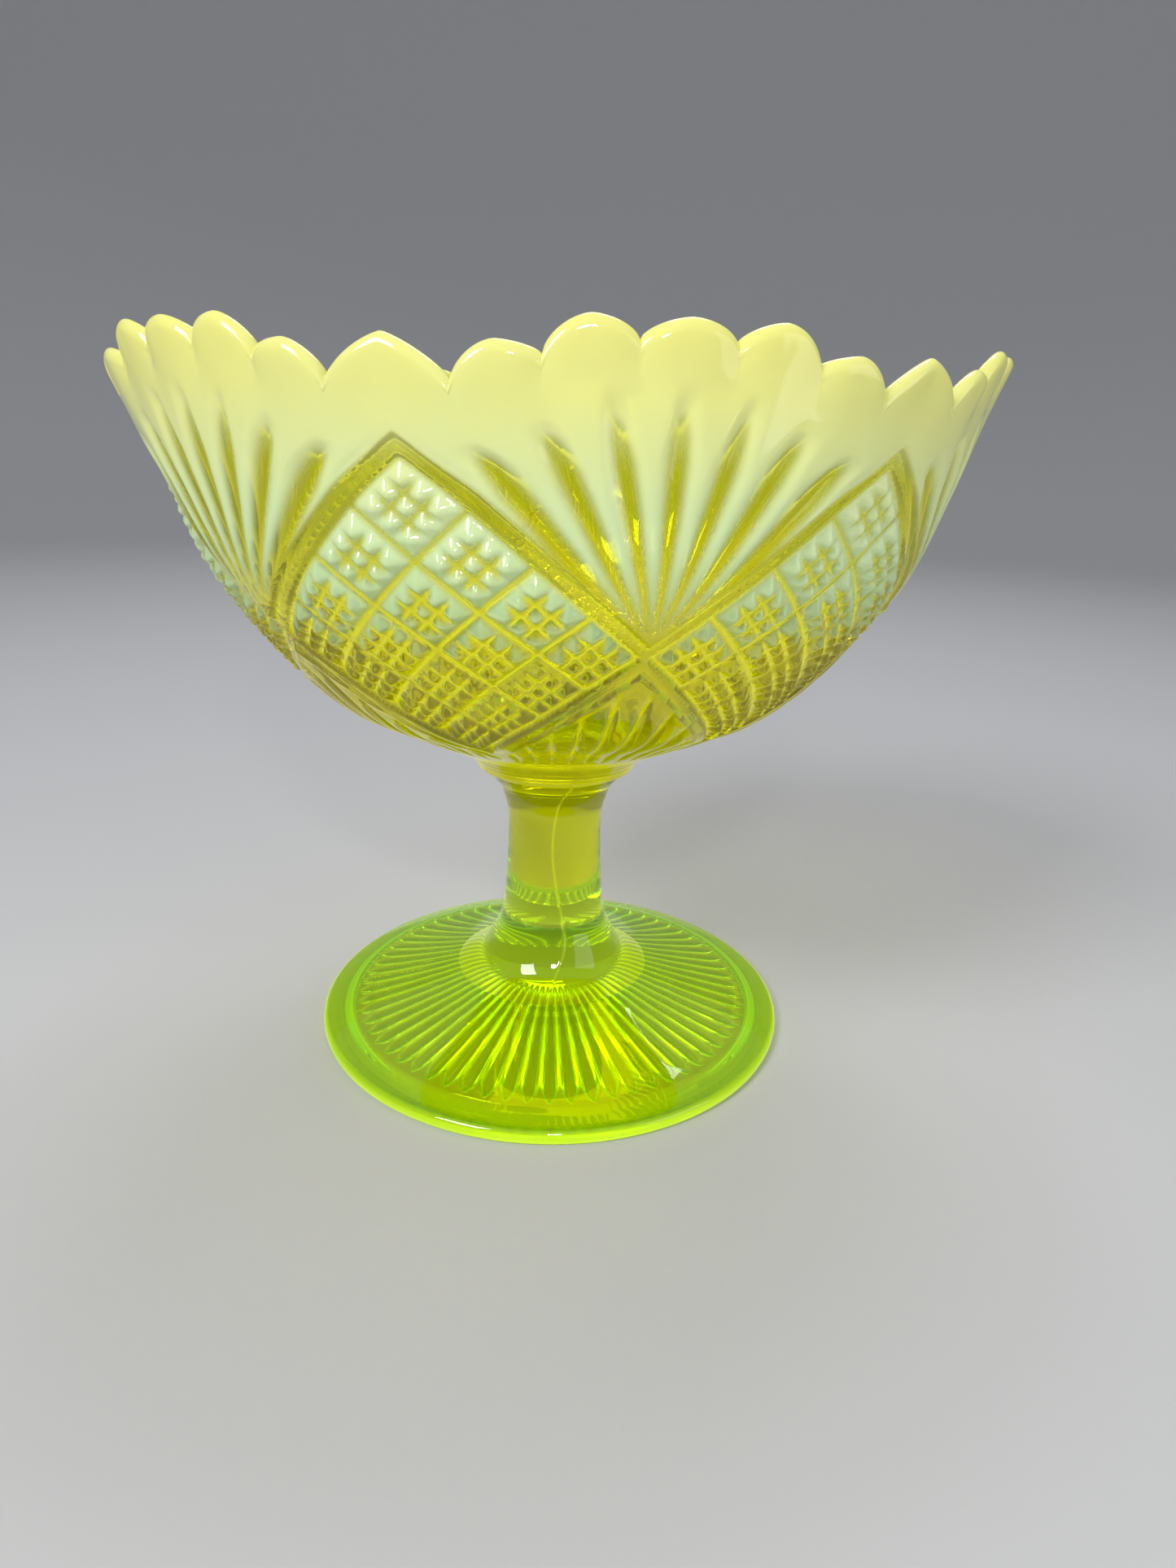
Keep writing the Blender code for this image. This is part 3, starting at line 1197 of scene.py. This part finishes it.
    def build(self) -> bpy.types.Object:
        """Build the bowl's mesh, with how milky each point is and how much painted glow it gets.

        Returns:
            The bowl, on its axis and in the frame's place.
        """
        degrees = Scallops().even_angles(self.repeats)
        repeat = 360.0 / self.repeats
        turn = (degrees + repeat / 2) % repeat - repeat / 2
        outer = even_line(self.outer_line(), self.outer_rows)
        depth, milk = PressedPattern().press(turn, outer)
        normal = outward(outer)
        plain = np.vstack([self.crown_line()[1:-1], self.inner_line()])
        even = np.zeros((len(plain), len(turn)))
        radius = np.vstack([outer[:, :1] - depth * MM * normal[:, :1], plain[:, :1] + even])
        height = np.vstack([outer[:, 1:] - depth * MM * normal[:, 1:], plain[:, 1:] + even])
        radius, height = self.scalloped(turn, radius, height)
        angle = np.radians(degrees + self.fan_turn)
        wide, deep = radius * RIM_SHARE, radius * self.oval(height) * RIM_SHARE
        rings = np.stack([wide * np.sin(angle), -deep * np.cos(angle), height], axis=-1)
        under = self.under_line()
        rings = np.vstack([on_circle(under[:, :1], angle[None, :], under[:, 1:]), rings])
        low = self.outline[0][1]
        bowl = closed_body("bowl_pressed_opal", rings, low, self.floor_height, self.crease)
        fused = np.zeros((len(under), len(turn)))
        milk = np.maximum(milk, ease(*self.milky_outside, outer[:, 1:]))
        strike = np.vstack([fused, milk, ease(*self.milky_inside, plain[:, 1:]) + even])
        write_points(bowl, Attribute.STRIKE, strike, (0.0, 0.0))
        # Painted glow: full on the fused underside, then the painted bright edges of the outer
        # side.
        painted_glow = np.vstack([fused + 1, self.painted_bright_edges(depth, outer), even])
        write_points(bowl, Attribute.EDGE, painted_glow, (1.0, 0.0))
        write_joint_faces(bowl, [(self.collar_radius, low)])
        return bowl

    def painted_bright_edges(self, depth: np.ndarray, outer: np.ndarray) -> np.ndarray:
        """Where painted light is added to the bowl.

        Args:
            depth: the relief.
            outer: the outline.

        Returns:
            How strong the painted glow is at each point: along the bottoms of the lower cuts, and
            low on the underside.
        """
        height = outer[:, 1:]
        sunk = depth - softened(depth, self.glow_blur)
        least = self.painted_cut_glow_high
        share = least + (1 - least) * ease(*self.cuts_brighten, height)
        cuts = self.painted_cut_glow * (np.clip(sunk / self.bright_depth, 0, 1) * share)
        return np.clip(cuts + self.painted_base_glow * ease(*self.base_brightens, height), 0, 1)

    @staticmethod
    def dress(bowl: bpy.types.Object, effects: Effects) -> None:
        """Give the bowl its glass and tie it to the frame.

        Args:
            bowl: the piece.
            effects: the shared groups.
        """
        bowl.data.materials.append(BOWL_GLASS.material(effects))
        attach(bowl, BODY)
        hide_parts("bowl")


@dataclass(frozen=True)
class MouldSeam:
    """A thin raised line where two parts of the mould met, wandering a little on its way down."""

    azimuths: tuple[float, ...] = (8.0, 128.0, 248.0)
    half_width: float = 0.00030
    rise: float = 0.00016
    wander: float = 15.0  # degrees
    wander_from: tuple[float, float] = (0.012, 0.030)
    wave: float = 0.0125
    wave_step: float = 1.9  # radians from one seam's waves to the next one's
    drift: float = 420.0  # degrees per metre of height
    drifts_from: float = 0.045

    def rise_at(self, angle: np.ndarray, height: np.ndarray, radius: np.ndarray) -> np.ndarray:
        """How far the seam stands out of a turned side, in metres.

        Args:
            angle: the angles round the side, in radians.
            height: the height of each of its rings.
            radius: the radius of each of its rings.

        Returns:
            The rise, as ring by angle.
        """
        total = np.zeros(np.broadcast(angle, height).shape)
        for index, azimuth in enumerate(self.azimuths):
            sway = self.wander * np.sin(height / self.wave + self.wave_step * index)
            sway = sway * ease(*self.wander_from, height)
            drift = self.drift * (height - self.drifts_from)
            middle = np.radians(azimuth + sway + drift)
            off = (angle - middle + math.pi) % (2 * math.pi) - math.pi
            total += self.rise * bump_at(off * radius, 0.0, self.half_width)
        return total


DISC_SHARES = (0.5, 0.97)  # the rings of a flat disc, as shares of its radius


def turned_piece(
    name: str, side: np.ndarray, around: int, seam_share: np.ndarray
) -> tuple[bpy.types.Object, np.ndarray]:
    """A solid of glass turned on the axis, with mould seams down it and a joint at each end.

    Args:
        name: the piece's name.
        side: radius and height of its side, from the bottom up.
        around: how many points it has round it.
        seam_share: how much of the seams shows, at each point of the side.

    Returns:
        The object, and how far the seams stand out at each point of its rings.
    """
    first, last = side[0], side[-1]
    before = [(first[0] * share, first[1]) for share in DISC_SHARES]
    after = [(last[0] * share, last[1]) for share in DISC_SHARES[::-1]]
    line = np.vstack([before, side, after])
    angle = angles_round(around)
    rise = np.zeros((len(line), around))
    ends = len(DISC_SHARES)
    rise[ends:-ends] = MouldSeam().rise_at(angle, side[:, 1:], side[:, :1]) * seam_share
    rings = on_circle(line[:, :1] + rise, angle, line[:, 1:])
    piece = closed_body(name, rings, first[1], last[1], 40.0)
    write_joint_faces(piece, [tuple(first), tuple(last)])
    return piece, rise


@dataclass(frozen=True)
class JoiningWafer:
    """The gob of glass that joins the bowl to its stem, with the lines of its pressing ring."""

    outline: Outline = (
        (0.0188, WAFER_JOINT),
        (0.0206, 0.0741),
        (0.0213, 0.0752),
        (0.0226, 0.0770),
        (0.0258, BOWL_JOINT - JOIN_GAP),
    )
    line_heights: tuple[float, ...] = (0.0744, 0.0757, 0.0778)
    line_rise: float = 0.00014
    line_half: float = 0.00028
    seam_ends: tuple[float, float] = (0.0800, 0.0790)
    # Painted glow all over the wafer.
    painted_glow: float = 0.5
    around: int = 240
    rows: int = 64

    def build(self) -> bpy.types.Object:
        """Build the wafer's mesh.

        Returns:
            The wafer, on its axis and in the frame's place.
        """
        side = even_line(smooth_line(self.outline, 16), self.rows)
        rings = [bump_at(side[:, 1], height, self.line_half) for height in self.line_heights]
        side[:, 0] += self.line_rise * np.sum(rings, axis=0)
        seam_share = ease(*self.seam_ends, side[:, 1:])
        wafer, rise = turned_piece("joining_wafer", side, self.around, seam_share)
        write_points(wafer, Attribute.EDGE, np.full(rise.shape, self.painted_glow), (self.painted_glow, self.painted_glow))
        return wafer

    @staticmethod
    def dress(wafer: bpy.types.Object, effects: Effects) -> None:
        """Give the wafer its glass and tie it to the frame.

        Args:
            wafer: the piece.
            effects: the shared groups.
        """
        wafer.data.materials.append(WAFER_GLASS.material(effects))
        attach(wafer, BODY)
        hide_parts("joining_wafer")


@dataclass(frozen=True)
class Stem:
    """The solid waisted stem, with its mould seams."""

    outline: Outline = (
        (0.0272, FOOT_JOINT + JOIN_GAP),
        (0.0205, 0.0193),
        (0.0165, 0.0255),
        (0.0143, 0.0316),
        (0.0133, 0.0434),
        (0.0128, 0.0550),
        (0.0130, 0.0610),
        (0.0139, 0.0650),
        (0.0154, 0.0690),
        (0.0188, WAFER_JOINT - JOIN_GAP),
    )
    around: int = 480
    rows: int = 150
    # Painted light: a glow low on the stem and a painted highlight along its mould seams.
    low_painted_glow: float = 0.35
    brightens: tuple[float, float] = (0.045, 0.020)
    seam_painted_highlight: float = 0.4
    seam_starts: float = 0.001  # above its foot

    def build(self) -> bpy.types.Object:
        """Build the stem's mesh.

        Returns:
            The stem, on its axis and in the frame's place.
        """
        side = even_line(smooth_line(self.outline, 16), self.rows)
        bottom = self.outline[0][1]
        seam_share = ease(bottom, bottom + self.seam_starts, side[:, 1:])
        stem, rise = turned_piece("stem_waisted", side, self.around, seam_share)
        ends = len(DISC_SHARES)
        height = np.pad(side[:, 1:], ((ends, ends), (0, 0)), "edge")
        low = self.low_painted_glow * ease(*self.brightens, height)
        # Painted glow low down, and a painted highlight along each seam.
        painted_glow = low + self.seam_painted_highlight * rise / MouldSeam().rise
        write_points(stem, Attribute.EDGE, painted_glow, (0.5, 0.0))
        return stem

    @staticmethod
    def dress(stem: bpy.types.Object, effects: Effects) -> None:
        """Give the stem its glass and tie it to the frame.

        Args:
            stem: the piece.
            effects: the shared groups.
        """
        stem.data.materials.append(STEM_GLASS.material(effects))
        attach(stem, BODY)
        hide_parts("stem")


@dataclass(frozen=True)
class Foot:
    """The round foot: smooth above, hollow and ribbed below."""

    radius: float = 0.0655
    lip: float = 0.0034
    upper: Outline = (
        (0.0610, 0.0048),
        (0.0550, 0.0066),
        (0.0440, 0.0093),
        (0.0340, 0.0121),
        (0.0272, FOOT_JOINT),
    )
    hollow: Outline = (
        (0.0120, 0.0102),
        (0.0230, 0.0098),
        (0.0330, 0.0080),
        (0.0430, 0.0056),
        (0.0530, 0.0034),
        (0.0565, 0.0022),
        (0.0590, 0.0000),
    )
    ribs: int = 64
    rib_depth: float = 0.0014
    rib_from: float = 0.0135
    rib_fade: float = 0.004
    rib_tip: float = 0.0552
    tip_length: float = 0.0048
    tip_power: float = 1.4
    tip_soft: float = 0.0007
    cuts_end: tuple[float, float] = (0.0588, 0.0568)
    ring_inside: float = 0.0592
    steps_per_rib: int = 14
    hollow_rows: int = 96
    upper_rows: int = 50
    # Painted light: glow on the outer edge, on the resting ring where the floor under it stays
    # dark, bright painted lines along the ribs and at their tips, and a glow round the hollow's
    # border.
    lip_painted_glow: float = 0.65
    lip_brightens: tuple[float, float] = (0.0641, 0.0654)
    ring_painted_light: float = 0.16
    ring_height: float = 0.0003
    rib_painted_highlight: float = 0.85
    line_half: float = 0.24
    tip_painted_highlight: float = 0.40
    tip_half: float = 0.0005
    past_painted_glow: float = 0.02
    past_tips: tuple[float, float] = (-0.0005, 0.0010)
    wall_painted_glow: float = 0.16
    wall_brightens: tuple[float, float] = (0.0562, 0.0574)

    def from_rib(self, angle: np.ndarray) -> tuple[np.ndarray, np.ndarray]:
        """Where each angle is against its rib.

        Args:
            angle: the angles round the foot, in radians.

        Returns:
            How far off its rib's middle, from 0 to 1, and the radius where the rib ends there.
        """
        turn = angle * self.ribs / (2 * math.pi)
        away = np.abs(turn - np.round(turn)) * 2
        return away, self.rib_tip - self.tip_length * away**self.tip_power

    def rib_cut(self, angle: np.ndarray, radius: np.ndarray) -> np.ndarray:
        """How deep the grooves between the ribs are cut, in metres; each rib ends in a point.

        Args:
            angle: the angles round the foot, in radians.
            radius: the radius of each ring.

        Returns:
            The depth, as ring by angle.
        """
        away, end = self.from_rib(angle)
        groove = 0.35 * away**2 + 0.65 * np.maximum(away - 0.5, 0) / 0.5
        past = ease(-self.tip_soft, self.tip_soft, radius - end)
        inner = ease(self.rib_from, self.rib_from + self.rib_fade, radius)
        outer = ease(*self.cuts_end, radius)
        return self.rib_depth * np.maximum(groove, past) * inner * outer

    def painted_bright_edges(self, angle: np.ndarray, line: np.ndarray) -> np.ndarray:
        """Where painted light is added to the foot: its outer edge, its resting ring and its rib
        lines.

        Args:
            angle: the angles round it.
            line: radius and height of its rings, from the middle of the hollow.

        Returns:
            How strong the painted glow is at each point of the rings.
        """
        radius = line[:, :1]
        away, end = self.from_rib(angle)
        painted_glow = self.lip_painted_glow * ease(*self.lip_brightens, radius) + 0 * away
        # Painted light on the resting ring, where the floor beneath gets no light through the
        # glass.
        painted_glow[line[:, 1] < self.ring_height] = self.ring_painted_light
        lines = self.rib_painted_highlight * bump_at(away, 1.0, self.line_half) * (radius < end)
        tips = self.tip_painted_highlight * bump_at(radius, end, self.tip_half)
        inner = ease(self.rib_from, self.rib_from + self.rib_fade, radius)
        border = self.past_painted_glow * ease(*self.past_tips, radius - end)
        border = border + self.wall_painted_glow * ease(*self.wall_brightens, radius)
        hollow = np.arange(len(line))[:, None] < self.hollow_rows
        return np.where(hollow, np.maximum(np.maximum(lines, tips) * inner, border), painted_glow)

    def edge_line(self) -> np.ndarray:
        """The resting ring and the rounded outer edge, up to where the upper side starts.

        Returns:
            Radius and height of its points.
        """
        edge = smooth_line(
            [
                (self.ring_inside, 0.0),
                (self.radius - 0.0012, 0.0),
                (self.radius - 0.0004, self.lip * 0.15),
                (self.radius, self.lip * 0.55),
                (self.radius - 0.0008, self.lip),
                self.upper[0],
            ],
            5,
        )
        edge[:, 0] = np.minimum(edge[:, 0], self.radius)
        edge[:, 1] = np.maximum(edge[:, 1], 0.0)
        return edge[1:-1]

    def build(self) -> bpy.types.Object:
        """Build the foot's mesh.

        Returns:
            The foot, on its axis and in the frame's place.
        """
        below = even_line(smooth_line(self.hollow, 16), self.hollow_rows)
        above = even_line(smooth_line(self.upper, 16), self.upper_rows)
        reach, top = self.upper[-1]
        flat = [(reach * share, top) for share in DISC_SHARES[::-1]]
        line = np.vstack([below, self.edge_line(), above, flat])
        angle = angles_round(self.ribs * self.steps_per_rib)
        height = line[:, 1:] + 0 * angle
        height[: len(below)] += self.rib_cut(angle, below[:, :1])
        rings = on_circle(line[:, :1], angle, height)
        foot = closed_body("foot_ribbed", rings, self.hollow[0][1], top, 60.0)
        write_points(foot, Attribute.EDGE, self.painted_bright_edges(angle, line), (0.0, 0.0))
        write_joint_faces(foot, [(reach, top)])
        return foot

    @staticmethod
    def dress(foot: bpy.types.Object, effects: Effects) -> None:
        """Give the foot its glass and tie it to the frame.

        Args:
            foot: the piece.
            effects: the shared groups.
        """
        foot.data.materials.append(FOOT_GLASS.material(effects))
        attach(foot, BODY)
        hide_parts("foot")


# ---------------------------------------------------------------- studio


@dataclass(frozen=True)
class SoftBox:
    """One area light, aimed at a point."""

    name: str
    place: tuple[float, float, float]
    aim: tuple[float, float, float]
    size: tuple[float, float]
    power: float

    def build(self) -> None:
        """Place the light."""
        data = bpy.data.lights.new(self.name, "AREA")
        data.shape = "RECTANGLE"
        data.size, data.size_y = self.size
        data.energy = self.power
        light = bpy.data.objects.new(self.name, data)
        bpy.context.scene.collection.objects.link(light)
        light.location = self.place
        away = Vector(self.place) - Vector(self.aim)
        light.rotation_mode = "QUATERNION"
        light.rotation_quaternion = away.to_track_quat("Z", "Y")


@dataclass(frozen=True)
class Floor:
    """A pale disc whose edge sweeps up into a low wall."""

    radius: float = 2.2
    wall_height: float = 1.3
    colour: Colour = (0.52, 0.52, 0.53)
    roughness: float = 0.75
    around: int = 96

    def line(self) -> np.ndarray:
        """Radius and height from near the middle out to the top of the wall.

        Returns:
            The line's points, one row each.
        """
        arc = self.radius / 3
        flat = [(self.radius * k / 12, 0.0) for k in range(1, 9)]
        bend = np.linspace(0, math.pi / 2, 14)[1:]
        sweep = [(2 * arc + arc * math.sin(t), arc * (1 - math.cos(t))) for t in bend]
        wall = [(self.radius, arc + (self.wall_height - arc) * k / 2) for k in (1, 2)]
        return np.array(flat + sweep + wall)

    def build(self) -> None:
        """Build the floor just under the dish."""
        line = self.line()
        points = on_circle(line[:, :1], angles_round(self.around), line[:, 1:])
        start = np.arange(self.around)
        after = (start + 1) % self.around
        base = (np.arange(len(line) - 1) * self.around)[:, None]
        above = base + self.around
        quads = np.stack([base + after, base + start, above + start, above + after], axis=-1)
        faces = [*quads.reshape(-1, 4).tolist(), start.tolist()]
        mesh = bpy.data.meshes.new("studio_floor")
        mesh.from_pydata(points.reshape(-1, 3).tolist(), [], faces)
        mesh.shade_smooth()
        floor = bpy.data.objects.new("studio_floor", mesh)
        floor.location.z = -FLOOR_GAP
        bpy.context.scene.collection.objects.link(floor)
        material = bpy.data.materials.new("pale_floor")
        material.use_nodes = True
        shader = material.node_tree.nodes["Principled BSDF"]
        shader.inputs["Base Color"].default_value = (*self.colour, 1.0)
        shader.inputs["Roughness"].default_value = self.roughness
        mesh.materials.append(material)
        floor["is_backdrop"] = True


@dataclass(frozen=True)
class Camera:
    """The camera, which looks down at the dish; angles are in degrees."""

    eye: tuple[float, float, float] = (0.0, -0.2585, 0.1563)
    pitch: float = 18.83
    roll: float = 1.72
    yaw: float = 1.99
    lens: float = 22.70
    sensor: float = 36.0
    nearest: float = 0.01

    def build(self) -> None:
        """Place the camera."""
        tilt, turn, roll = (math.radians(x) for x in (self.pitch, self.yaw, self.roll))
        flat = math.cos(tilt)
        ahead = Vector((math.sin(turn) * flat, math.cos(turn) * flat, -math.sin(tilt)))
        level = Vector((math.cos(turn), -math.sin(turn), 0.0))
        upright = level.cross(ahead)
        right = math.cos(roll) * level + math.sin(roll) * upright
        up = math.cos(roll) * upright - math.sin(roll) * level
        data = bpy.data.cameras.new("studio_camera")
        data.lens = self.lens
        data.sensor_width = self.sensor
        data.clip_start = self.nearest
        camera = bpy.data.objects.new("studio_camera", data)
        bpy.context.scene.collection.objects.link(camera)
        turned = Matrix((right, up, -ahead)).transposed().to_4x4()
        camera.matrix_world = Matrix.Translation(self.eye) @ turned
        bpy.context.scene.camera = camera


@dataclass(frozen=True)
class Studio:
    """A pale floor, soft lights and the camera."""

    sky_colour: Colour = (0.90, 0.93, 1.0)
    sky_strength: float = 0.38
    boxes: tuple[SoftBox, ...] = (
        SoftBox("key_softbox", (-0.62, -0.62, 0.85), (0, 0, 0.12), (0.4, 0.4), 7.6),
        SoftBox("fill_softbox", (0.85, -0.5, 0.45), (0, 0, 0.1), (0.6, 0.6), 1.7),
        SoftBox("back_softbox", (0.15, 0.60, 1.25), (0, 0, 0.1), (0.7, 0.5), 6.0),
        SoftBox("front_lamp", (0.02, -0.45, 0.36), (0, 0, 0.12), (0.05, 0.05), 0.6),
    )

    def build(self) -> None:
        """Build the floor, the lights and the camera."""
        bpy.context.scene.view_settings.view_transform = "Standard"
        Floor().build()
        world = bpy.data.worlds.new("studio_air")
        world.use_nodes = True
        air = world.node_tree.nodes["Background"]
        air.inputs["Color"].default_value = (*self.sky_colour, 1.0)
        air.inputs["Strength"].default_value = self.sky_strength
        bpy.context.scene.world = world
        for box in self.boxes:
            box.build()
        Camera().build()


def main() -> None:
    """Build the studio and the four pieces of the dish, and report each."""
    Studio().build()
    effects = Effects()
    for maker in (Foot(), Stem(), JoiningWafer(), Bowl()):
        piece = maker.build()
        maker.dress(piece, effects)
        LOG.info("%s: %d faces", piece.name, len(piece.data.polygons))


def report_size() -> None:
    boxes = {"cad": CAD_BOX, "visual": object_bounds()}
    sides = boxes["visual"][1] - boxes["visual"][0]
    LOG.info("size of the dish: %s", [round(side, 4) for side in sides])


if __name__ == "__main__":
    logging.basicConfig(level=logging.INFO, format="%(name)s: %(message)s")
    main()
    report_size()
